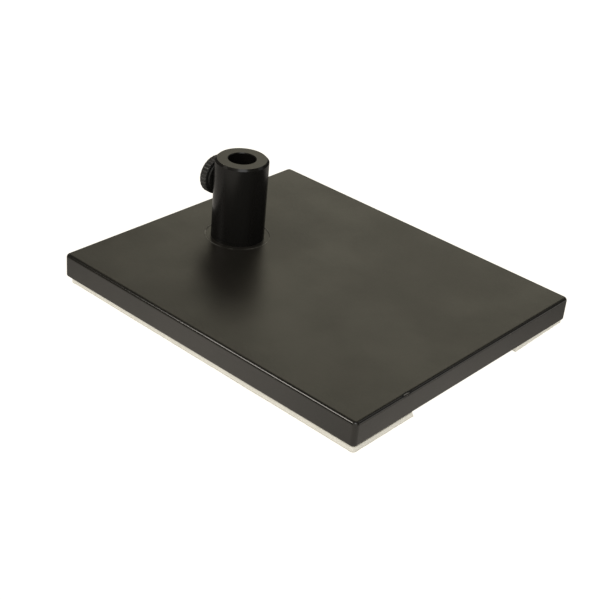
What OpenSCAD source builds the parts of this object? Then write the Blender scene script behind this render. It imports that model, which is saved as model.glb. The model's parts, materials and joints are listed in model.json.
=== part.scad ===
// Weighted stand base: a thick steel plate carries a socket post for a half-inch rod.
// A thumbscrew in the side of the post clamps the rod, and two felt strips lie under the plate.
// Millimetres. +Z is up and +Y runs towards the edge that the post stands beside.
// The origin is on the table, under the middle of the plate.

/* [Plate] */
// Length of the plate along Y
plate_l = 175; // [150:1:260]
// Width of the plate along X
plate_w = 150; // [120:1:220]
// Thickness of the plate
plate_t = 11.4; // [11:0.1:16]
// Radius of the vertical corners
corner_r = 2.2; // [1.8:0.1:8]
// Radius of the top edges
top_edge_r = 1.6; // [0.5:0.1:1.6]
// Radius of the bottom edges
foot_edge_r = 0.9; // [0.3:0.1:1.2]
// Distance from the back edge to the middle of the post
post_inset = 36.1; // [26:0.1:60]

/* [Socket post] */
// Diameter of the post
post_d = 25.4; // [24:0.1:32]
// Height of the post above the plate
post_h = 39.4; // [38:0.1:60]
// Chamfer round the top of the post
post_chamfer = 1; // [0.2:0.1:1.5]
// Diameter of the rod socket
bore_d = 12.9; // [12:0.05:13.2]
// Depth of the rod socket
bore_depth = 25; // [20:0.5:25]
// Chamfer at the mouth of the socket
bore_chamfer = 0.35; // [0.1:0.05:1]
// Width of the spot-faced seat round the foot of the post
seat_d = 30.6; // [28:0.1:36]
// Depth of the spot-faced seat
seat_depth = 0.2; // [0.1:0.05:0.5]

/* [Thumbscrew] */
// Height of the thumbscrew's axis above the plate
screw_z = 25.5; // [22:0.1:28]
// Diameter of the stud
stud_d = 6.35; // [5:0.05:6.4]
// Running clearance round the stud, on the radius
stud_play = 0.05; // [0.03:0.01:0.08]
// Gap between the knob and the post at rest
knob_gap = 0.55; // [0.5:0.05:3]
// Diameter of the knob
knob_d = 18.6; // [16:0.1:22]
// Thickness of the fluted rim
rim_t = 4.1; // [3.5:0.1:8]
// Diameter of the boss on the knob's inner face
boss_d = 15; // [12:0.1:15.4]
// Height of the boss on the knob's inner face
boss_t = 0.7; // [0.4:0.1:2]
// Number of flutes round the knob
flute_count = 30; // [16:1:36]
// Depth of each flute
flute_depth = 0.45; // [0.2:0.05:0.6]
// Diameter of the brass tip
tip_d = 4.7; // [4:0.1:4.9]
// Length of the brass tip
tip_l = 1.2; // [1:0.1:2.5]
// Diameter of the spigot that the tip swivels on
spigot_d = 2.6; // [2:0.1:3]
// How far the tip lies outside the socket at rest
tip_back = 0.1; // [0.05:0.05:0.3]

/* [Post fixing] */
// Diameter of the fixing screw
fix_d = 6.35; // [5:0.05:6.4]
// Length of the fixing screw under its head
fix_l = 15.9; // [15:0.1:16]
// Diameter of the fixing screw's head
head_d = 9.5; // [9:0.1:10]
// Height of the fixing screw's head
head_h = 6.35; // [5:0.05:6.4]
// Hexagon key size across its flats
key_af = 4.76; // [4:0.01:5]
// Outer diameter of the spring washer
washer_d = 12.3; // [11:0.1:12.5]
// Thickness of the spring washer
washer_t = 1.6; // [1.2:0.1:1.6]
// Diameter of the counterbore under the plate
cbore_d = 13; // [12.8:0.1:13.4]
// Depth of the counterbore under the plate
cbore_depth = 8.4; // [8.3:0.1:8.6]
// Diameter of the roll pin
pin_d = 3.17; // [3:0.01:3.2]
// Length of the roll pin
pin_l = 9.5; // [8:0.1:10]
// Distance from the post's axis to the roll pin
pin_radius = 8.8; // [8.6:0.1:9.5]

/* [Felt strips] */
// Width of each strip
pad_w = 38; // [20:0.1:50]
// Length of each strip
pad_l = 171.5; // [120:0.5:174]
// Thickness of the felt
pad_t = 2.6; // [1.5:0.1:5]
// Thickness of the tape that holds the felt
tape_t = 0.25; // [0.15:0.05:0.5]
// Inset of the left strip's front end
left_front_inset = 0.1; // [0.1:0.1:5]
// Inset of the left strip's outer edge, at its front end
left_side_inset = 0.5; // [0.1:0.1:5]
// How far the left strip runs inward towards its back end
left_drift = 0.9; // [0:0.1:3]
// Inset of the right strip's front end, at its inner corner
right_front_inset = 0.6; // [0.1:0.1:5]
// Inset of the right strip's outer edge
right_side_inset = 0.1; // [0.1:0.1:5]
// How much further back the right strip's front end is at its outer corner
right_cut = 1; // [0:0.1:3]

/* [Hidden] */
$fn = 96;
eps = 0.02;
plate_z = pad_t + tape_t;
deck_z = plate_z + plate_t;
post_y = plate_l / 2 - post_inset;
post_foot_z = deck_z - seat_depth;
post_top_z = deck_z + post_h;
post_l = post_top_z - post_foot_z;
bore_floor_z = post_top_z - bore_depth;
axis_z = deck_z + screw_z;
hole_r = stud_d / 2 + stud_play;
spigot_l = 1.4;
spigot_hole_l = 1.6;
swivel_gap = 0.05;
// Distances from the post's axis along the thumbscrew
tip_y = bore_d / 2 + tip_back;
stud_y = tip_y + tip_l + swivel_gap;
boss_y = post_d / 2 + knob_gap;
rim_chamfer = 0.5;
boss_chamfer = 0.35;
knob_socket_d = 5.4;
knob_socket_l = 3.2;
dish_d = 12.4;
dish_depth = 0.5;
stud_shoulder_y = boss_y + 0.3;
stud_chamfer = 0.4;
// The fixing screw hangs its head on the spring washer, at the roof of the counterbore
roof_z = plate_z + cbore_depth;
fix_seat_z = roof_z - washer_t;
tapped_depth = 12.4;
fix_hole_d = 6.8;
fix_play = 0.02;
key_depth = 3.2;
washer_hole_d = 6.6;
washer_gap = 1;
pin_hole_depth = 5;
pin_wall = 0.65;
pin_slot = 0.6;
pin_play = 0.01;
strip_back_y = pad_l - plate_l / 2 + left_front_inset;
coat_black = [0.15, 0.15, 0.14];
steel_black = [0.11, 0.11, 0.12];
zinc = [0.62, 0.63, 0.64];
brass = [0.76, 0.62, 0.33];
felt_cream = [0.83, 0.81, 0.75];
tape_white = [0.90, 0.89, 0.86];

// Section of the plate across one direction: round above and below at both ends.
module slab_section(span) {
    half = span / 2;
    for (side = [-1, 1]) {
        translate([side * (half - top_edge_r), plate_t - top_edge_r]) circle(r = top_edge_r);
        translate([side * (half - foot_edge_r), foot_edge_r]) circle(r = foot_edge_r);
    }
    translate([-half, foot_edge_r]) square([span, plate_t - top_edge_r - foot_edge_r]);
    translate([-half + top_edge_r, 0]) square([span - 2 * top_edge_r, plate_t]);
    translate([-half + foot_edge_r, 0])
        square([span - 2 * foot_edge_r, plate_t - top_edge_r]);
}

// Round corner of the plate, turned about its own vertical axis.
module slab_corner() {
    rotate_extrude()
        intersection() {
            slab_section(2 * corner_r);
            square([corner_r, plate_t]);
        }
}

module slab() {
    rotate([90, 0, 0])
        linear_extrude(height = plate_l - 2 * corner_r, center = true)
            slab_section(plate_w);
    rotate([90, 0, 90])
        linear_extrude(height = plate_w - 2 * corner_r, center = true)
            slab_section(plate_l);
    for (sx = [-1, 1], sy = [-1, 1])
        translate([sx * (plate_w / 2 - corner_r), sy * (plate_l / 2 - corner_r), 0])
            slab_corner();
}

module pin_hole(z) {
    translate([pin_radius, post_y, z]) cylinder(d = pin_d, h = pin_hole_depth);
}

module base_plate() {
    color(coat_black)
        difference() {
            translate([0, 0, plate_z]) slab();
            translate([0, post_y, deck_z - seat_depth])
                cylinder(d = seat_d, h = seat_depth + 1);
            translate([0, post_y, plate_z - 1]) cylinder(d = fix_hole_d, h = plate_t + 2);
            translate([0, post_y, plate_z - 1]) cylinder(d = cbore_d, h = cbore_depth + 1);
            pin_hole(post_foot_z - pin_hole_depth);
        }
}

module socket_post() {
    color(coat_black)
        difference() {
            translate([0, post_y, post_foot_z])
                union() {
                    cylinder(d = post_d, h = post_l - post_chamfer);
                    translate([0, 0, post_l - post_chamfer])
                        cylinder(
                            d1 = post_d,
                            d2 = post_d - 2 * post_chamfer,
                            h = post_chamfer
                        );
                }
            translate([0, post_y, bore_floor_z]) cylinder(d = bore_d, h = bore_depth + 1);
            translate([0, post_y, post_top_z - bore_chamfer])
                cylinder(d1 = bore_d, d2 = bore_d + 4 * bore_chamfer, h = 2 * bore_chamfer);
            translate([0, post_y, post_foot_z - 1])
                cylinder(d = fix_d + 2 * fix_play, h = tapped_depth + 1);
            pin_hole(post_foot_z - eps);
            translate([0, post_y, axis_z])
                rotate([-90, 0, 0]) cylinder(r = hole_r, h = post_d);
        }
}

module post_screw() {
    color(steel_black)
        translate([0, post_y, 0])
            difference() {
                union() {
                    translate([0, 0, fix_seat_z - head_h]) cylinder(d = head_d, h = head_h);
                    translate([0, 0, fix_seat_z - eps])
                        cylinder(d = fix_d, h = fix_l + eps);
                }
                translate([0, 0, fix_seat_z - head_h - 1])
                    cylinder(r = key_af / sqrt(3), h = key_depth + 1, $fn = 6);
            }
}

module lock_washer() {
    color(zinc)
        translate([0, post_y, fix_seat_z])
            difference() {
                cylinder(d = washer_d, h = washer_t);
                translate([0, 0, -1]) cylinder(d = washer_hole_d, h = washer_t + 2);
                translate([0, -washer_gap / 2, -1])
                    cube([washer_d, washer_gap, washer_t + 2]);
            }
}

module roll_pin() {
    pin_r = pin_d / 2 - pin_play;
    color(zinc)
        translate([pin_radius, post_y, post_foot_z - pin_l / 2])
            difference() {
                cylinder(r = pin_r, h = pin_l);
                translate([0, 0, -1]) cylinder(r = pin_r - pin_wall, h = pin_l + 2);
                translate([0, -pin_slot / 2, -1]) cube([pin_d, pin_slot, pin_l + 2]);
            }
}

// Places a piece that is drawn along +Z on the thumbscrew's axis, which runs along +Y.
module on_screw_axis(y) {
    translate([0, post_y + y, axis_z]) rotate([-90, 0, 0]) children();
}

module flute_ring() {
    flute_r = PI * knob_d / flute_count / 3.2;
    difference() {
        circle(d = knob_d);
        for (i = [0:flute_count - 1])
            rotate(i * 360 / flute_count)
                translate([knob_d / 2 + flute_r - flute_depth, 0]) circle(r = flute_r, $fn = 24);
    }
}

module thumb_knob() {
    rim_r = knob_d / 2;
    color(steel_black)
        on_screw_axis(boss_y)
            difference() {
                union() {
                    cylinder(d1 = boss_d - 2 * boss_chamfer, d2 = boss_d, h = boss_chamfer);
                    translate([0, 0, boss_chamfer]) cylinder(d = boss_d, h = boss_t);
                    intersection() {
                        translate([0, 0, boss_t]) linear_extrude(height = rim_t) flute_ring();
                        translate([0, 0, boss_t])
                            rotate_extrude()
                                polygon([
                                    [0, 0],
                                    [rim_r - rim_chamfer, 0],
                                    [rim_r, rim_chamfer],
                                    [rim_r, rim_t - rim_chamfer],
                                    [rim_r - rim_chamfer, rim_t],
                                    [0, rim_t]
                                ]);
                    }
                }
                translate([0, 0, -1]) cylinder(d = knob_socket_d, h = knob_socket_l + 1);
                translate([0, 0, -1]) cylinder(d = stud_d, h = stud_shoulder_y - boss_y + 1);
                translate([0, 0, boss_t + rim_t - dish_depth])
                    cylinder(d = dish_d, h = dish_depth + 1);
            }
}

module thumb_stud() {
    thread_l = stud_shoulder_y - stud_y;
    color(steel_black)
        on_screw_axis(stud_y)
            difference() {
                union() {
                    cylinder(d1 = stud_d - 2 * stud_chamfer, d2 = stud_d, h = stud_chamfer);
                    translate([0, 0, stud_chamfer])
                        cylinder(d = stud_d, h = thread_l - stud_chamfer);
                    cylinder(d = knob_socket_d, h = boss_y + knob_socket_l - stud_y);
                }
                translate([0, 0, -1])
                    cylinder(d = spigot_d + 2 * stud_play, h = spigot_hole_l + 1);
            }
}

module clamp_tip() {
    color(brass)
        on_screw_axis(tip_y) {
            cylinder(d = tip_d, h = tip_l);
            cylinder(d = spigot_d, h = tip_l + swivel_gap + spigot_l);
        }
}

// Each strip is cut and stuck on by hand, so its corners aren't all square to the plate.
module left_strip(thickness) {
    x = left_side_inset - plate_w / 2;
    y = left_front_inset - plate_l / 2;
    linear_extrude(height = thickness)
        polygon([
            [x, y],
            [x + pad_w, y],
            [x + pad_w + left_drift, strip_back_y],
            [x + left_drift, strip_back_y]
        ]);
}

module right_strip(thickness) {
    x = plate_w / 2 - right_side_inset;
    y = right_front_inset - plate_l / 2;
    linear_extrude(height = thickness)
        polygon([
            [x - pad_w, y],
            [x, y + right_cut],
            [x, strip_back_y],
            [x - pad_w, strip_back_y]
        ]);
}

module felt_left() {
    color(felt_cream) left_strip(pad_t);
}

module felt_right() {
    color(felt_cream) right_strip(pad_t);
}

module tape_left() {
    color(tape_white) translate([0, 0, pad_t]) left_strip(tape_t);
}

module tape_right() {
    color(tape_white) translate([0, 0, pad_t]) right_strip(tape_t);
}

base_plate();
socket_post();
post_screw();
lock_washer();
roll_pin();
thumb_knob();
thumb_stud();
clamp_tip();
felt_left();
felt_right();
tape_left();
tape_right();
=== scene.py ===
import json
import math
import random

import bmesh
import bpy
from mathutils import Matrix, Vector, noise


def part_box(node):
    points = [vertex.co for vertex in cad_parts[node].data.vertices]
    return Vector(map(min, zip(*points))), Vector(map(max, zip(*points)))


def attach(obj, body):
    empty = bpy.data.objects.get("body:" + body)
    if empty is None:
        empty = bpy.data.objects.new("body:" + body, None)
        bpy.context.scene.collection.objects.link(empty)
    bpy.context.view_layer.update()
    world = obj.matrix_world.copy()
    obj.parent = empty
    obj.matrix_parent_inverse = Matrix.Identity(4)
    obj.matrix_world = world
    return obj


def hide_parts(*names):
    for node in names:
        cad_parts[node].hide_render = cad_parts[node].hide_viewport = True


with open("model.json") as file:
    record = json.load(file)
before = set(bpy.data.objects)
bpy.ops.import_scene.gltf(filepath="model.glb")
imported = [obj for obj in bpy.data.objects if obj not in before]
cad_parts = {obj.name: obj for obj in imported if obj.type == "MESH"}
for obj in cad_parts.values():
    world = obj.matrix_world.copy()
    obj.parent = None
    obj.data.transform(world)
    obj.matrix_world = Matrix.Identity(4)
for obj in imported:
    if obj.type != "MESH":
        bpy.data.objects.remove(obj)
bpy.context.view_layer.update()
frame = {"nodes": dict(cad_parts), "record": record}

MM = 0.001
TURN = 2 * math.pi

plate_lo, plate_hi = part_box("base_plate")
post_lo, post_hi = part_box("socket_post")
knob_lo, knob_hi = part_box("thumb_knob")
stud_lo, stud_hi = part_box("thumb_stud")
tip_lo, tip_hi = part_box("clamp_tip")
screw_lo, screw_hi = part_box("post_screw")
washer_lo, washer_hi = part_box("lock_washer")

post_axis = Vector(((post_lo.x + post_hi.x) / 2, (post_lo.y + post_hi.y) / 2, 0))
screw_axis_z = (knob_lo.z + knob_hi.z) / 2


# ---------------------------------------------------------------- camera

CAMERA_AZIMUTH = -50.07
CAMERA_ELEVATION = 30.29
CAMERA_ROLL = 5.30
CAMERA_DISTANCE = 587.2 * MM
CAMERA_AIM = Vector((-22.5 * MM, -9.9 * MM, plate_hi.z))
CAMERA_LENS = 80.13
CAMERA_SENSOR = 36.0


def direction(azimuth, elevation):
    """Unit vector from the object towards a place at this azimuth and elevation, in degrees."""
    a, e = math.radians(azimuth), math.radians(elevation)
    return Vector((math.sin(a) * math.cos(e), -math.cos(a) * math.cos(e), math.sin(e)))


def make_camera():
    data = bpy.data.cameras.new("camera")
    data.lens = CAMERA_LENS
    data.sensor_width = CAMERA_SENSOR
    data.clip_start, data.clip_end = 0.01, 20
    camera = bpy.data.objects.new("camera", data)
    back = direction(CAMERA_AZIMUTH, CAMERA_ELEVATION)
    roll = Matrix.Rotation(math.radians(CAMERA_ROLL), 4, "Z")
    turn = (-back).to_track_quat("-Z", "Y").to_matrix().to_4x4()
    camera.matrix_world = Matrix.Translation(CAMERA_AIM + back * CAMERA_DISTANCE) @ turn @ roll
    bpy.context.scene.collection.objects.link(camera)
    bpy.context.scene.camera = camera


make_camera()


# ---------------------------------------------------------------- node helpers


class Nodes:
    """Short ways to add and join shader nodes in one material or world."""

    def __init__(self, tree):
        self.tree = tree

    def set(self, socket, value):
        if isinstance(value, bpy.types.NodeSocket):
            self.tree.links.new(value, socket)
        elif isinstance(value, tuple) and len(value) == 3 and socket.type == "RGBA":
            socket.default_value = (*value, 1)
        else:
            socket.default_value = value

    def add(self, kind, **inputs):
        node = self.tree.nodes.new(kind)
        for name, value in inputs.items():
            self.set(node.inputs[name.replace("_", " ")], value)
        return node

    def math(self, operation, a, b=0.0):
        node = self.tree.nodes.new("ShaderNodeMath")
        node.operation = operation
        self.set(node.inputs[0], a)
        self.set(node.inputs[1], b)
        return node.outputs[0]

    def vector(self, operation, a, b):
        node = self.tree.nodes.new("ShaderNodeVectorMath")
        node.operation = operation
        self.set(node.inputs[0], a)
        self.set(node.inputs[1], b)
        return node.outputs["Value" if operation in ("DOT_PRODUCT", "DISTANCE") else "Vector"]

    def step(self, value, start, end, low=0.0, high=1.0):
        """Smooth change from low to high as value goes from start to end."""
        node = self.tree.nodes.new("ShaderNodeMapRange")
        node.interpolation_type = "SMOOTHSTEP"
        for name, v in (
            ("Value", value),
            ("From Min", start),
            ("From Max", end),
            ("To Min", low),
            ("To Max", high),
        ):
            self.set(node.inputs[name], v)
        return node.outputs["Result"]

    def mix(self, factor, a, b):
        node = self.tree.nodes.new("ShaderNodeMix")
        node.data_type = "RGBA"
        for name, value in (("Factor", factor), ("A", a), ("B", b)):
            self.set([s for s in node.inputs if s.name == name and s.enabled][0], value)
        return [s for s in node.outputs if s.enabled][0]

    def noise(self, where, scale, detail=3.0, roughness=0.5):
        node = self.add("ShaderNodeTexNoise", Vector=where, Scale=scale, Detail=detail)
        node.inputs["Roughness"].default_value = roughness
        return node.outputs["Fac"]

    def stretched(self, where, x, y, z):
        return self.vector("MULTIPLY", where, (x, y, z))

    def bump(self, height, distance, strength=1.0, normal=None):
        node = self.add("ShaderNodeBump", Height=height, Strength=strength, Distance=distance)
        if normal:
            self.set(node.inputs["Normal"], normal)
        return node.outputs["Normal"]


def new_material(name):
    material = bpy.data.materials.new(name)
    material.use_nodes = True
    material.node_tree.nodes.clear()
    nodes = Nodes(material.node_tree)
    out = nodes.add("ShaderNodeOutputMaterial")
    shader = nodes.add("ShaderNodeBsdfPrincipled")
    material.node_tree.links.new(shader.outputs["BSDF"], out.inputs["Surface"])
    return material, nodes, shader


def shade(nodes, shader, **sockets):
    for name, value in sockets.items():
        nodes.set(shader.inputs[name.replace("_", " ")], value)


def above_table(nodes, where):
    return nodes.add("ShaderNodeSeparateXYZ", Vector=where).outputs["Z"]


def edge_factor(nodes):
    """1 on rounded and chamfered edges that face partly up or down, 0 on flat faces and walls."""
    coords = nodes.add("ShaderNodeTexCoord")
    split = nodes.add("ShaderNodeSeparateXYZ", Vector=coords.outputs["Normal"])
    tilt = nodes.math("ABSOLUTE", split.outputs["Z"])
    return nodes.math("MULTIPLY", nodes.step(tilt, 0.12, 0.4), nodes.step(tilt, 0.97, 0.8))


# ---------------------------------------------------------------- materials

EDGE_ROUGHNESS = 0.12
PEEL_DEPTH = 0.01 * MM

CHIP = Vector((-43.4 * MM, plate_lo.y + 0.55 * MM, plate_hi.z - 0.4 * MM))
# The chip is longer along the edge than it is wide
CHIP_STRETCH = (0.3, 1.0, 1.0)
CHIP_DEPTH = 0.08 * MM
CHIP_RAGGED = 0.7 * MM
# Distances from the chip's middle at which it ends and is full, and the same for the painted shade
# round it
CHIP_FADE = (0.92 * MM, 0.80 * MM)
CHIP_SHADE_FADE = (1.5 * MM, 1.2 * MM)
BARE_METAL = (0.22, 0.21, 0.19)

# The painted highlight line round the post's seat, and its half width where it ends and is full
SEAT_RADIUS = 15.4 * MM
SEAT_FADE = (0.45 * MM, 0.1 * MM)


def black_coat(name, ior, smooth, coarse, dark, light):
    """Satin black coat: cloudy gloss, fine orange peel, smoother edges with a few bare specks, one
    chip with painted shade round it, and a painted highlight line round the post's seat. Smooth
    and coarse are the roughness of its clearest and cloudiest places, and dark and light its
    colours."""
    material, nodes, shader = new_material(name)
    where = nodes.add("ShaderNodeTexCoord").outputs["Object"]
    cloud = nodes.noise(where, 26.0, 4.0, 0.55)
    tint = nodes.noise(nodes.stretched(where, 1, 1, 0.3), 48.0, 3.0)
    speck = nodes.noise(where, 1500.0, 2.0)
    peel = nodes.noise(where, 520.0, 2.0)
    edge = edge_factor(nodes)

    colour = nodes.mix(nodes.step(tint, 0.35, 0.65), dark, light)
    colour = nodes.mix(nodes.math("MULTIPLY", edge, 0.5), colour, (0.012, 0.0115, 0.010))
    rough = nodes.step(cloud, 0.3, 0.7, smooth, coarse)
    rough = nodes.math("ADD", rough, nodes.step(speck, 0.3, 0.7, -0.015, 0.015))
    rough = nodes.math("SUBTRACT", rough, nodes.math("MULTIPLY", edge, smooth - EDGE_ROUGHNESS))

    offset = nodes.stretched(nodes.vector("SUBTRACT", where, tuple(CHIP)), *CHIP_STRETCH)
    away = nodes.vector("DISTANCE", offset, (0.0, 0.0, 0.0))
    ragged = nodes.math("MULTIPLY", nodes.noise(where, 1900.0, 3.0), CHIP_RAGGED)
    chip_reach = nodes.math("ADD", away, ragged)
    chip = nodes.step(chip_reach, *CHIP_FADE)
    # Painted shade: a dark band round the chip
    rim = nodes.math("SUBTRACT", nodes.step(chip_reach, *CHIP_SHADE_FADE), chip)
    spots = nodes.step(nodes.noise(where, 900.0, 2.0), 0.735, 0.76)
    spots = nodes.math("MULTIPLY", edge, spots)
    bare = nodes.math("MAXIMUM", chip, nodes.math("MULTIPLY", spots, 0.7))

    foot = nodes.vector("DISTANCE", nodes.stretched(where, 1, 1, 0), tuple(post_axis))
    from_edge = nodes.math("ABSOLUTE", nodes.math("SUBTRACT", foot, SEAT_RADIUS))
    # Patchy mask for the painted highlight round the post's seat, kept to the top face
    highlight_patches = nodes.step(nodes.noise(where, 210.0, 3.0), 0.46, 0.60, 0.15, 0.9)
    height = above_table(nodes, where)
    highlight_patches = nodes.math("MULTIPLY", highlight_patches, nodes.step(height, plate_hi.z - MM, plate_hi.z - 0.5 * MM))
    seat_highlight = nodes.math("MULTIPLY", nodes.step(from_edge, *SEAT_FADE), highlight_patches)

    # Painted highlight: a lighter line round the post's seat
    colour = nodes.mix(seat_highlight, colour, (0.15, 0.145, 0.13))
    colour = nodes.mix(bare, colour, BARE_METAL)
    # Painted shade round the chip
    colour = nodes.mix(rim, colour, (0.004, 0.004, 0.004))
    rough = nodes.math("ADD", rough, nodes.math("MULTIPLY", rim, 0.25))
    normal = nodes.bump(peel, PEEL_DEPTH, 0.5)
    normal = nodes.bump(nodes.math("SUBTRACT", 1.0, bare), CHIP_DEPTH, 0.8, normal)
    shade(nodes, shader, Base_Color=colour, Roughness=rough, Metallic=bare, IOR=ior, Normal=normal)
    return material


def felt_material():
    """Pressed wool felt: mottled cream with darker flecks, a matted fibre surface, and a
    darker line along the bottom."""
    material, nodes, shader = new_material("felt_cream")
    where = nodes.add("ShaderNodeTexCoord").outputs["Object"]
    cloud = nodes.noise(where, 120.0, 4.0)
    fibre = nodes.noise(nodes.stretched(where, 1.0, 0.45, 1.6), 2600.0, 4.0, 0.7)
    across = nodes.noise(nodes.stretched(where, 0.4, 1.2, 1.0), 2100.0, 3.0, 0.7)
    matted = nodes.math("MULTIPLY", nodes.math("ADD", fibre, across), 0.5)
    colour = nodes.mix(nodes.step(cloud, 0.3, 0.7), (0.71, 0.695, 0.63), (0.77, 0.755, 0.69))
    colour = nodes.mix(nodes.step(matted, 0.50, 0.36, 0.0, 0.12), colour, (0.58, 0.555, 0.48))
    fleck = nodes.step(nodes.noise(where, 620.0, 2.0), 0.72, 0.78, 0.0, 0.15)
    colour = nodes.mix(fleck, colour, (0.45, 0.41, 0.32))
    height = above_table(nodes, where)
    # Darker colour along the bottom 0.75 mm of the strip
    darker_bottom = nodes.step(height, 0.75 * MM, 0.25 * MM, 0.0, 0.75)
    colour = nodes.mix(darker_bottom, colour, (0.46, 0.44, 0.38))
    shade(
        nodes,
        shader,
        Base_Color=colour,
        Roughness=nodes.step(matted, 0.3, 0.7, 0.85, 1.0),
        Sheen_Weight=0.35,
        Sheen_Roughness=0.6,
        Specular_IOR_Level=0.2,
        Normal=nodes.bump(matted, 0.07 * MM, 0.5),
    )
    return material


def tape_material():
    """White foam-backed tape seen edge on, with a yellowed adhesive line."""
    material, nodes, shader = new_material("tape_foam")
    where = nodes.add("ShaderNodeTexCoord").outputs["Object"]
    cells = nodes.noise(where, 3200.0, 2.0)
    cloud = nodes.noise(where, 70.0, 3.0)
    colour = nodes.mix(nodes.step(cloud, 0.3, 0.7), (0.64, 0.62, 0.55), (0.72, 0.70, 0.63))
    colour = nodes.mix(nodes.step(cells, 0.55, 0.4, 0.0, 0.4), colour, (0.55, 0.50, 0.38))
    rough = nodes.step(cells, 0.3, 0.7, 0.45, 0.6)
    normal = nodes.bump(cells, 0.03 * MM, 0.6)
    shade(nodes, shader, Base_Color=colour, Roughness=rough, Normal=normal)
    return material


# Distances from the knob's axis between which the crests of its flutes begin
CREST_FADE = (9.0 * MM, 9.25 * MM)


def knob_material():
    """Moulded black nylon: faint grain, worn shiny on the flutes' crests."""
    material, nodes, shader = new_material("knob_nylon")
    where = nodes.add("ShaderNodeTexCoord").outputs["Object"]
    cloud = nodes.noise(where, 160.0, 3.0)
    grain = nodes.noise(where, 3000.0, 2.0)
    axis = (0.0, knob_lo.y, screw_axis_z)
    offset = nodes.stretched(nodes.vector("SUBTRACT", where, axis), 1.0, 0.0, 1.0)
    radius = nodes.vector("DISTANCE", offset, (0.0, 0.0, 0.0))
    crest = nodes.step(radius, *CREST_FADE)
    colour = nodes.mix(nodes.step(cloud, 0.3, 0.7), (0.014, 0.0136, 0.0125), (0.019, 0.0184, 0.017))
    colour = nodes.mix(nodes.math("MULTIPLY", crest, 0.6), colour, (0.038, 0.037, 0.034))
    rough = nodes.step(grain, 0.3, 0.7, 0.42, 0.54)
    rough = nodes.math("SUBTRACT", rough, nodes.math("MULTIPLY", crest, 0.1))
    normal = nodes.bump(grain, 0.02 * MM, 0.5)
    shade(nodes, shader, Base_Color=colour, Roughness=rough, Normal=normal)
    return material


def metal(name, dark, light, smooth, coarse, stretch, wear=None):
    """Machined metal: fine marks run along the axes that stretch makes short, and wear is the
    colour of patches where a dark finish has rubbed off."""
    material, nodes, shader = new_material(name)
    where = nodes.add("ShaderNodeTexCoord").outputs["Object"]
    cloud = nodes.noise(where, 240.0, 4.0)
    marks = nodes.noise(nodes.stretched(where, *stretch), 1400.0, 3.0, 0.6)
    colour = nodes.mix(nodes.step(cloud, 0.3, 0.7), dark, light)
    if wear:
        rubbed = nodes.step(nodes.noise(where, 1100.0, 3.0), 0.60, 0.68, 0.0, 0.55)
        colour = nodes.mix(rubbed, colour, wear)
    shade(
        nodes,
        shader,
        Base_Color=colour,
        Metallic=1.0,
        Roughness=nodes.step(marks, 0.3, 0.7, smooth, coarse),
        Normal=nodes.bump(marks, 0.01 * MM, 0.5),
    )
    return material


MATERIALS = {
    "black_coat": black_coat(
        "coat_plate", 1.5, 0.33, 0.39, (0.0115, 0.0106, 0.0082), (0.0150, 0.0132, 0.0106)
    ),
    "black_oxide": metal(
        "black_oxide_steel",
        (0.020, 0.020, 0.023),
        (0.040, 0.039, 0.042),
        0.28,
        0.42,
        (0.2, 0.2, 3.0),
        (0.10, 0.095, 0.09),
    ),
    "zinc": metal(
        "zinc_plate", (0.50, 0.51, 0.54), (0.64, 0.65, 0.66), 0.24, 0.40, (1.0, 1.0, 1.0)
    ),
    "knob_black": knob_material(),
    "brass": metal(
        "brass_turned", (0.60, 0.42, 0.17), (0.78, 0.58, 0.27), 0.18, 0.32, (1.0, 4.0, 1.0)
    ),
    "felt": felt_material(),
    "tape": tape_material(),
}

for part in frame["record"]["subparts"]:
    for slot in frame["nodes"][part["node"]].material_slots:
        slot.material = MATERIALS[part["material_slot"]]

# The post has the plate's coat, but glossier, with darker colours that are painted shade
frame["nodes"]["socket_post"].material_slots[0].material = black_coat(
    "coat_post", 1.3, 0.19, 0.24, (0.0068, 0.0065, 0.0060), (0.0088, 0.0084, 0.0078)
)


# ---------------------------------------------------------------- mesh helpers

SHARP_ANGLE = math.radians(38)


def make_piece(name, verts, faces, slot, body, replaced=()):
    mesh = bpy.data.meshes.new(name)
    mesh.from_pydata(verts, [], faces)
    clean = bmesh.new()
    clean.from_mesh(mesh)
    bmesh.ops.recalc_face_normals(clean, faces=clean.faces)
    clean.to_mesh(mesh)
    clean.free()
    mesh.shade_smooth()
    mesh.set_sharp_from_angle(angle=SHARP_ANGLE)
    mesh.materials.append(MATERIALS[slot])
    piece = bpy.data.objects.new(name, mesh)
    bpy.context.scene.collection.objects.link(piece)
    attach(piece, body)
    if replaced:
        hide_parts(*replaced)
    return piece


def loops_to_mesh(loops, cap_first=True, cap_last=True):
    """Verts and faces of a skin over closed loops of the same length."""
    count = len(loops[0])
    verts = [v for loop in loops for v in loop]
    faces = []
    for i in range(len(loops) - 1):
        for j in range(count):
            k = (j + 1) % count
            a, b = i * count, (i + 1) * count
            faces.append((a + j, a + k, b + k, b + j))
    if cap_first:
        faces.append(tuple(range(count - 1, -1, -1)))
    if cap_last:
        faces.append(tuple(range((len(loops) - 1) * count, len(loops) * count)))
    return verts, faces


def turned(profile, columns, place):
    """Loops round an axis: profile rows are (along, radius), and radius may be a function."""
    loops = []
    for along, radius in profile:
        loop = []
        for j in range(columns):
            angle = TURN * j / columns
            r = radius(angle) if callable(radius) else radius
            loop.append(place(along * MM, r * MM, angle))
        loops.append(loop)
    return loops


def on_screw(start):
    """Places a point round the thumbscrew's axis, which runs along +Y."""

    def place(along, radius, angle):
        return Vector((
            radius * math.cos(angle), start + along, screw_axis_z - radius * math.sin(angle)
        ))

    return place


def on_post(start):
    """Places a point round the post's axis."""

    def place(along, radius, angle):
        return Vector((
            radius * math.cos(angle), post_axis.y + radius * math.sin(angle), start + along
        ))

    return place


# ---------------------------------------------------------------- thumbscrew

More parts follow.
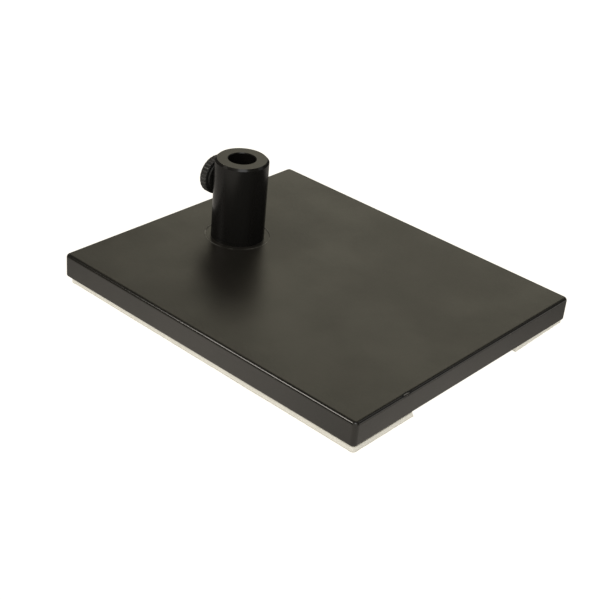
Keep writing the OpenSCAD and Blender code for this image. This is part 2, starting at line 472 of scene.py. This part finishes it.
FLUTES = 30
FLUTE_DEPTH = 0.45
RIM_RADIUS = (knob_hi.x - knob_lo.x) / 2 / MM
KNOB_LENGTH = (knob_hi.y - knob_lo.y) / MM
BOSS_STEP = 0.7
THREAD_PITCH = 1.27
THREAD_DEPTH = 0.72


def fluted(radius):
    """Radius cut back where it would stand in a flute."""

    def at(angle):
        u = (angle / TURN * FLUTES) % 1 * 2 - 1
        cut = 0.0
        if abs(u) < 0.64:
            cut = FLUTE_DEPTH * (0.5 + 0.5 * math.cos(math.pi * u / 0.64)) ** 0.8
        return min(radius, RIM_RADIUS - cut)

    return at


def make_knob():
    edge = [(0.0, -0.68), (0.05, -0.45), (0.17, -0.24), (0.34, -0.09), (0.55, -0.01), (0.8, 0.0)]
    face = KNOB_LENGTH
    inner = [(BOSS_STEP + a, fluted(RIM_RADIUS + r)) for a, r in edge]
    outer = [(face - a, fluted(RIM_RADIUS + r)) for a, r in reversed(edge)]
    middle = [(BOSS_STEP + 0.8 + i * 0.5, fluted(RIM_RADIUS)) for i in range(1, 5)]
    profile = (
        [(3.2, 0.4), (3.2, 2.72), (0.34, 2.74), (0.3, 2.8), (0.3, 3.26), (0.06, 3.3)]
        + [(0.0, 3.38), (0.0, 6.9), (0.03, 7.08), (0.12, 7.26), (0.28, 7.4), (0.46, 7.46)]
        + [(0.62, 7.49), (0.68, 7.53), (BOSS_STEP, 7.62), (BOSS_STEP, 8.3)]
        + inner
        + middle
        + outer
        + [(face, 8.2), (face, 6.6), (face - 0.03, 6.4), (face - 0.12, 6.26)]
        + [(face - 0.36, 6.17), (face - 0.46, 6.08), (face - 0.5, 5.9), (face - 0.5, 4.0)]
        + [(face - 0.44, 1.5), (face - 0.42, 1.12), (face - 0.36, 1.0), (face - 0.3, 0.9)]
        + [(face - 0.28, 0.7), (face - 0.3, 0.3)]
    )
    verts, faces = loops_to_mesh(turned(profile, FLUTES * 12, on_screw(knob_lo.y)))
    make_piece("knob_fluted", verts, faces, "knob_black", "thumbscrew", ("thumb_knob",))


def threaded(major, along, start, end, taper):
    """Radius of a right-hand thread at this height, tapering off towards both ends."""
    limit = major - taper + max(0.0, min(along - start, end - along, taper))

    def at(angle):
        phase = (along / THREAD_PITCH - angle / TURN) % 1
        slope = min(max((abs(phase - 0.5) * 2 - 0.12) / 0.72, 0.0), 1.0)
        return min(major - THREAD_DEPTH * slope, limit)

    return at


def thread_rows(major, start, end, taper, per_turn=14):
    rows = math.ceil((end - start) / THREAD_PITCH * per_turn)
    for i in range(rows + 1):
        along = start + (end - start) * i / rows
        yield along, threaded(major, along, start, end, taper)


def make_stud():
    major = 3.175
    shoulder = (knob_lo.y - stud_lo.y) / MM + 0.3
    buried = (stud_hi.y - stud_lo.y) / MM - 0.05
    profile = [(1.6, 0.3), (1.6, 1.35), (0.08, 1.36), (0.0, 1.44), (0.0, 2.2)]
    profile += list(thread_rows(major, 0.0, shoulder - 0.02, 0.55))
    profile += [(shoulder - 0.01, 2.6), (shoulder + 0.05, 2.58), (buried, 2.58), (buried, 0.3)]
    verts, faces = loops_to_mesh(turned(profile, 56, on_screw(stud_lo.y)))
    make_piece("stud_threaded", verts, faces, "black_oxide", "thumbscrew", ("thumb_stud",))


def make_tip():
    length = (tip_hi.y - tip_lo.y) / MM
    profile = [(0.03, 0.3), (0.02, 0.9), (0.0, 1.9), (0.0, 2.12), (0.05, 2.25), (0.16, 2.34)]
    profile += [(0.4, 2.35), (1.0, 2.35), (1.14, 2.32), (1.2, 2.22), (1.2, 1.35), (1.24, 1.3)]
    profile += [(length - 0.2, 1.3), (length, 1.12), (length, 0.3)]
    verts, faces = loops_to_mesh(turned(profile, 64, on_screw(tip_lo.y)))
    make_piece("tip_turned", verts, faces, "brass", "screw_slider", ("clamp_tip",))


make_knob()
make_stud()
make_tip()


# ---------------------------------------------------------------- fixing under the plate

HEAD_RADIUS = 4.75
HEAD_HEIGHT = 6.35
KEY_FLATS = 4.76
KEY_DEPTH = 3.2


def hexagon(scale=1.0):
    """Radius of the key socket's wall, by angle."""

    def at(angle):
        turn = (angle + math.pi / 6) % (math.pi / 3) - math.pi / 6
        return scale * KEY_FLATS / 2 / math.cos(turn)

    return at


def knurled(radius):
    def at(angle):
        return radius - 0.13 * abs(math.sin(angle * 32)) ** 0.7

    return at


def make_post_screw():
    bottom = [(KEY_DEPTH, hexagon(0.05)), (KEY_DEPTH, hexagon(0.97)), (KEY_DEPTH - 0.1, hexagon())]
    mouth = [(0.3, hexagon()), (0.12, lambda a: max(hexagon()(a), 2.55)), (0.0, 2.88)]
    rim = [(0.0, 4.1), (0.03, 4.28), (0.12, 4.42), (0.28, 4.52), (0.5, 4.6)]
    wall = [(0.62, knurled(4.68)), (0.8, knurled(HEAD_RADIUS)), (3.0, knurled(HEAD_RADIUS))]
    wall += [(5.6, knurled(HEAD_RADIUS)), (5.8, 4.6), (6.2, 4.6)]
    seat = [(HEAD_HEIGHT, 4.5), (HEAD_HEIGHT, 0.5)]
    profile = bottom + mouth + rim + wall + seat
    verts, faces = loops_to_mesh(turned(profile, 384, on_post(screw_lo.z)))
    make_piece("socket_head", verts, faces, "black_oxide", "base", ("post_screw",))
    length = (screw_hi.z - screw_lo.z) / MM
    profile = [(HEAD_HEIGHT, 0.5), (HEAD_HEIGHT, 3.1), (HEAD_HEIGHT + 1.7, 3.1)]
    profile += list(thread_rows(3.17, HEAD_HEIGHT + 1.8, length, 0.6, 10))
    profile += [(length, 0.5)]
    verts, faces = loops_to_mesh(turned(profile, 40, on_post(screw_lo.z)))
    make_piece("socket_head_thread", verts, faces, "black_oxide", "base", ("post_screw",))


def make_washer():
    """Split spring washer: a rounded section swept round, its two ends cut a little skew."""
    height = (washer_hi.z - washer_lo.z) / MM
    inner, outer, soft = 3.32, (washer_hi.y - washer_lo.y) / 2 / MM, 0.16
    corners = [(inner, 0.0, 1, 1), (outer, 0.0, -1, 1), (outer, height, -1, -1)]
    corners.append((inner, height, 1, -1))
    section = []
    for r, z, dr, dz in corners:
        first, last = (0.0, soft), (soft, 0.0)
        ends = (first, last) if dr == dz else (last, first)
        section += [(r + dr * a, z + dz * b) for a, b in ends]
    gap = 0.115
    steps = 96
    loops = []
    for i in range(steps + 1):
        t = i / steps
        loop = []
        for r, z in section:
            skew = 0.05 * (z / height - 0.5) * (1 - 2 * t)
            angle = gap + (TURN - 2 * gap) * t + skew * (1 if t in (0, 1) else 0)
            loop.append(on_post(washer_lo.z)(z * MM, r * MM, angle))
        loops.append(loop)
    verts, faces = loops_to_mesh(loops)
    make_piece("spring_washer", verts, faces, "zinc", "base", ("lock_washer",))


def make_seat_bead():
    """Thin bead of coat that built up round the edge of the post's seat."""
    profile = []
    for i in range(9):
        a = math.pi * i / 8
        profile.append((0.05 * math.sin(a) - 0.02, 15.55 - 0.3 * math.cos(a)))
    verts, faces = loops_to_mesh(turned(profile, 180, on_post(plate_hi.z)), False, False)
    make_piece("seat_bead", verts, faces, "black_coat", "base")


make_post_screw()
make_washer()
make_seat_bead()


# ---------------------------------------------------------------- felt strips

STRIP_SPACING = 0.9 * MM
ARC_STEPS = 6
# The cut wavers on the long sides and the ends this far from a strip's middle, not past it
SIDE_REACH = 83.0 * MM
END_REACH = 18.2 * MM

FIBRES = 1500
FIBRE_ROOT = 0.18 * MM
FIBRE_HALF_WIDTH = 0.018 * MM
FIBRE_LOWEST = 0.03 * MM


def strip_corners(node):
    """The four corners of a strip's outline, in order round it from the front left."""
    points = {(round(v.co.x, 5), round(v.co.y, 5)) for v in frame["nodes"][node].data.vertices}
    middle = [sum(p[i] for p in points) / len(points) for i in range(2)]
    far = sorted(points, key=lambda p: math.atan2(p[1] - middle[1], p[0] - middle[0]))
    return [Vector((x, y, 0)) for x, y in far]


def outline(corners, inset, radii, steps):
    """Points round a four-sided outline moved inwards by inset, its corners rounded. Steps is
    how many pieces each side is cut into."""
    count = len(corners)
    edges = []
    for i in range(count):
        along = (corners[(i + 1) % count] - corners[i]).normalized()
        edges.append((corners[i] + Vector((-along.y, along.x, 0)) * inset, along))

    def meet(a, b):
        (p, u), (q, v) = a, b
        t = ((q - p).x * v.y - (q - p).y * v.x) / (u.x * v.y - u.y * v.x)
        return p + u * t

    moved = [meet(edges[i - 1], edges[i]) for i in range(count)]
    points = []
    for i in range(count):
        corner, before, after, radius = moved[i], edges[i - 1][1], edges[i][1], radii[i]
        for k in range(ARC_STEPS + 1):
            a = math.pi / 2 * k / ARC_STEPS
            points.append(
                corner - before * radius * (1 - math.sin(a)) + after * radius * (1 - math.cos(a))
            )
        following = (i + 1) % count
        length = (moved[following] - corner).length - radius - radii[following]
        for k in range(1, steps[i]):
            points.append(corner + after * (radius + length * k / steps[i]))
    return points


def strip_loops(rings, corners, radii, undercut, lo, hi, rough, seed):
    """Loops round a hand-cut strip: rings are (height, inset) in mm. Undercut is the number of
    a corner and how far it's cut back at the top. Rough is how far the cut edge wavers."""
    middle = (lo + hi) / 2
    steps = [round((corners[i - 3] - corners[i]).length / STRIP_SPACING) for i in range(4)]
    loops = []
    for z, inset in rings:
        leaning = list(corners)
        leaning[undercut[0]] = corners[undercut[0]] + undercut[1] * (z * MM / (hi.z - lo.z))
        side = rough if inset < 1 else 0.0
        loop = []
        for p in outline(leaning, inset * MM, [r * MM for r in radii], steps):
            q = Vector((p.x, p.y, lo.z + z * MM))
            bumpy = noise.fractal(q * 900 + Vector((seed, 0, 0)), 0.9, 2.0, 3)
            wavy = noise.noise(Vector((q.x * 60, q.y * 60, seed)))
            pull = side * (0.13 + 0.10 * bumpy + 0.10 * wavy) * MM
            inward = Vector((
                math.copysign(1, middle.x - q.x) if abs(q.y - middle.y) < SIDE_REACH else 0.0,
                math.copysign(1, middle.y - q.y) if abs(q.x - middle.x) < END_REACH else 0.0,
                0,
            ))
            loop.append(q + inward * max(pull, 0.0))
        loops.append(loop)
    return loops


def make_felt(side, radii, undercut, seed):
    node = f"felt_{side}"
    lo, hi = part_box(node)
    corners = strip_corners(node)
    height = (hi.z - lo.z) / MM
    rings = [(0.0, 6.0), (0.0, 0.4), (0.01, 0.22), (0.05, 0.1), (0.15, 0.03), (0.5, 0.0)]
    rings += [(1.0, 0.0), (1.5, 0.0), (2.0, 0.02), (2.35, 0.04), (2.52, 0.09), (height, 0.16)]
    rings += [(height, 4.0)]
    verts, faces = loops_to_mesh(strip_loops(rings, corners, radii, undercut, lo, hi, 1.0, seed))
    felt = make_piece(f"felt_strip_{side}", verts, faces, "felt", "base", (node,))
    return corners, lo


def make_tape(side, radii, undercut, seed):
    """The tape was cut with its felt, so its ends follow the felt's."""
    node = f"tape_{side}"
    lo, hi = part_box(node)
    height = (hi.z - lo.z) / MM
    corners = strip_corners(node)
    corners[undercut[0]] += undercut[1]
    rings = [(0.0, 4.0), (0.0, 0.2), (0.05, 0.06), (height / 2, 0.02), (height - 0.05, 0.05)]
    rings += [(height, 0.16), (height, 4.0)]
    still = (undercut[0], Vector())
    verts, faces = loops_to_mesh(strip_loops(rings, corners, radii, still, lo, hi, 0.8, seed))
    make_piece(f"tape_strip_{side}", verts, faces, "tape", "base", (node,))


def make_fuzz(corners, lo, name, seed):
    """Loose fibres along a strip's cut edges."""
    rng = random.Random(seed)
    verts, faces = [], []
    count = len(corners)
    lengths = [(corners[(i + 1) % count] - corners[i]).length for i in range(count)]
    for _ in range(FIBRES):
        i = rng.choices(range(count), lengths)[0]
        along = (corners[(i + 1) % count] - corners[i]).normalized()
        outward = Vector((along.y, -along.x, 0))
        root = corners[i] + along * rng.uniform(0.001, lengths[i] - 0.001)
        root -= outward * FIBRE_ROOT
        root.z = lo.z + rng.choice((rng.uniform(0.12, 0.9), rng.uniform(0.3, 2.3))) * MM
        reach = rng.uniform(0.15, 0.5) * MM
        lean = along * rng.uniform(-0.9, 0.9) + Vector((0, 0, rng.uniform(-0.5, 0.3)))
        width = Vector((0, 0, FIBRE_HALF_WIDTH))
        start = len(verts)
        for k in range(4):
            t = k / 3
            p = root + outward * reach * t * (1.3 - 0.5 * t) + lean * reach * t * t
            p.z = max(p.z, FIBRE_LOWEST)
            half = width * (1 - 0.7 * t)
            verts += [p - half, p + half]
        for k in range(3):
            a = start + 2 * k
            faces.append((a, a + 1, a + 3, a + 2))
    make_piece(name, verts, faces, "felt", "base")


# Corner radii in mm, in order from the front left, and how far the inner front corner, named by
# its number, is cut back at the top
STRIPS = (
    ("left", (1.8, 0.4, 0.8, 0.4), (1, Vector((-1.2, 0, 0)) * MM)),
    ("right", (0.4, 0.5, 0.8, 0.8), (0, Vector((0.2, 0, 0)) * MM)),
)

for i, (side, radii, undercut) in enumerate(STRIPS):
    strip, strip_lo = make_felt(side, radii, undercut, 11 + i)
    make_tape(side, radii, undercut, 21 + i)
    make_fuzz(strip, strip_lo, f"felt_fibres_{side}", 31 + i)


# ---------------------------------------------------------------- studio

FLOOR_SIZE = 8.0
# Off centre, so that the seam between the floor's two triangles isn't under the object
FLOOR_SHIFT = 1.0
FLOOR_GAP = 0.02 * MM
FLOOR_WHITE = (1.12, 1.08, 1.0)
FLOOR_COLOUR = (1.0, 0.935, 0.84)
# Places across the table and along it where its mirrored glow starts and stops to change
GLOW_RIGHT = (-0.02, 0.12)
GLOW_ENDS = (0.0, 0.2)
GLOW_FRONT = (-0.115, -0.18)

WALL_COLOUR = (0.085, 0.080, 0.072)
BACKDROP_AZIMUTH = 125
BACKDROP_COLOUR = (1.22, 1.15, 0.90)
# Where the backdrop's sides, top and foot start and are full
BACKDROP_SIDES = (0.42, 0.19)
BACKDROP_TOP = (0.77, 0.66)
BACKDROP_FOOT = (0.20, 0.40)
FILL_ELEVATION = 30
FILL_COLOUR = (0.80, 0.77, 0.70)
# Azimuth, elevation, cosines at which each card starts and is full, and its radiance
CARDS = (
    (58, 41, 0.980, 0.994, 0.58),
    (42, -6, 0.945, 0.98, 1.05),
    (-40, 59, 0.950, 0.985, 3.6),
)

KEY_DIRECTION = Vector((-0.63, 0.475, 0.61)).normalized()
KEY_DISTANCE = 1.4
KEY_SIZE = (0.44, 0.39)
KEY_RADIANCE = 9.0
KEY_COLOUR = (1.0, 0.94, 0.86)


def make_floor():
    """White table. It looks burnt out, and what the object mirrors is a dimmer painted glow, which
    falls off to the right and towards both ends, is full again well in front, and has a painted
    shadow under the plate. It's clear from below, so that the underside can be looked at."""
    mesh = bpy.data.meshes.new("floor")
    near, far = FLOOR_SIZE / 2 - FLOOR_SHIFT, FLOOR_SIZE / 2 + FLOOR_SHIFT
    z = -FLOOR_GAP
    corners = [(-far, -near, z), (near, -near, z), (near, far, z), (-far, far, z)]
    mesh.from_pydata(corners, [], [(0, 1, 2, 3)])
    floor = bpy.data.objects.new("floor", mesh)
    bpy.context.scene.collection.objects.link(floor)
    material, nodes, shader = new_material("floor_white")
    where = nodes.add("ShaderNodeTexCoord").outputs["Object"]
    split = nodes.add("ShaderNodeSeparateXYZ", Vector=where)
    across, along = split.outputs["X"], split.outputs["Y"]
    # Painted light: the mirrored glow falls off to the right and towards both ends
    glow = nodes.math(
        "MULTIPLY",
        nodes.step(across, *GLOW_RIGHT, 1.0, 0.4),
        nodes.step(nodes.math("ABSOLUTE", along), *GLOW_ENDS, 1.0, 0.25),
    )
    # Painted shadow: the mirrored glow is taken away under the plate
    plate_shadow = nodes.math(
        "MULTIPLY",
        nodes.step(nodes.math("ABSOLUTE", across), plate_hi.x + 2 * MM, plate_hi.x - 3 * MM),
        nodes.step(nodes.math("ABSOLUTE", along), plate_hi.y + 2 * MM, plate_hi.y - 3 * MM),
    )
    glow = nodes.math("MAXIMUM", glow, nodes.step(along, *GLOW_FRONT))
    glow = nodes.math("MULTIPLY", glow, nodes.math("SUBTRACT", 1.0, plate_shadow))
    mirrored = nodes.mix(glow, (0.03, 0.028, 0.025), FLOOR_COLOUR)
    in_gloss = nodes.add("ShaderNodeLightPath").outputs["Is Glossy Ray"]
    shade(
        nodes,
        shader,
        Base_Color=(0.06, 0.06, 0.06),
        Roughness=0.9,
        Specular_IOR_Level=0.0,
        Emission_Color=nodes.mix(in_gloss, FLOOR_WHITE, mirrored),
        Emission_Strength=1.0,
    )
    below = nodes.add("ShaderNodeNewGeometry").outputs["Backfacing"]
    surface = nodes.add("ShaderNodeMixShader", Fac=below)
    nodes.set(surface.inputs[1], shader.outputs["BSDF"])
    nodes.set(surface.inputs[2], nodes.add("ShaderNodeBsdfTransparent").outputs["BSDF"])
    nodes.set(material.node_tree.nodes["Material Output"].inputs["Surface"], surface.outputs[0])
    mesh.materials.append(material)


def make_world():
    """Dim studio: a pale backdrop panel across the set, a broad fill opposite, and cards."""
    world = bpy.data.worlds.new("studio")
    world.use_nodes = True
    world.node_tree.nodes.clear()
    nodes = Nodes(world.node_tree)
    out = nodes.add("ShaderNodeOutputWorld")
    back = nodes.add("ShaderNodeBackground")
    world.node_tree.links.new(back.outputs[0], out.inputs["Surface"])
    where = nodes.add("ShaderNodeTexCoord").outputs["Generated"]
    height = nodes.add("ShaderNodeSeparateXYZ", Vector=where).outputs["Z"]

    ahead = nodes.vector("DOT_PRODUCT", where, direction(BACKDROP_AZIMUTH, 0))
    aside = nodes.vector("DOT_PRODUCT", where, direction(BACKDROP_AZIMUTH + 90, 0))
    spread = nodes.math("DIVIDE", nodes.math("ABSOLUTE", aside), nodes.math("MAXIMUM", ahead, 0.01))
    sides, top = nodes.step(spread, *BACKDROP_SIDES), nodes.step(height, *BACKDROP_TOP)
    panel = nodes.math("MULTIPLY", sides, top)
    panel = nodes.math("MULTIPLY", panel, nodes.step(height, *BACKDROP_FOOT))
    facing = nodes.vector("DOT_PRODUCT", where, direction(CAMERA_AZIMUTH, FILL_ELEVATION))
    fill = nodes.step(facing, 0.60, 0.85)
    colour = nodes.mix(panel, WALL_COLOUR, BACKDROP_COLOUR)
    colour = nodes.mix(fill, colour, FILL_COLOUR)
    for azimuth, elevation, start, end, radiance in CARDS:
        facing = nodes.vector("DOT_PRODUCT", where, direction(azimuth, elevation))
        colour = nodes.mix(nodes.step(facing, start, end), colour, (radiance,) * 3)
    in_view = nodes.add("ShaderNodeLightPath").outputs["Is Camera Ray"]
    nodes.set(back.inputs["Color"], nodes.mix(in_view, colour, FLOOR_WHITE))
    back.inputs["Strength"].default_value = 1.0
    bpy.context.scene.world = world


def softbox(name, where, size, radiance):
    """Area light facing the object, upright along Y, and as bright as radiance in a mirror."""
    data = bpy.data.lights.new(name, "AREA")
    data.shape = "RECTANGLE"
    data.size, data.size_y = size
    data.energy = radiance * math.pi * size[0] * size[1]
    data.color = KEY_COLOUR
    light = bpy.data.objects.new(name, data)
    back = where.normalized()
    along = (Vector((0, 1, 0)) - back * back.y).normalized()
    turn = Matrix((along.cross(back), along, back)).transposed().to_4x4()
    light.matrix_world = Matrix.Translation(where) @ turn
    bpy.context.scene.collection.objects.link(light)


make_floor()
make_world()
softbox("key_softbox", KEY_DIRECTION * KEY_DISTANCE, KEY_SIZE, KEY_RADIANCE)

view = bpy.context.scene.view_settings
view.view_transform = "Standard"
view.look = "None"
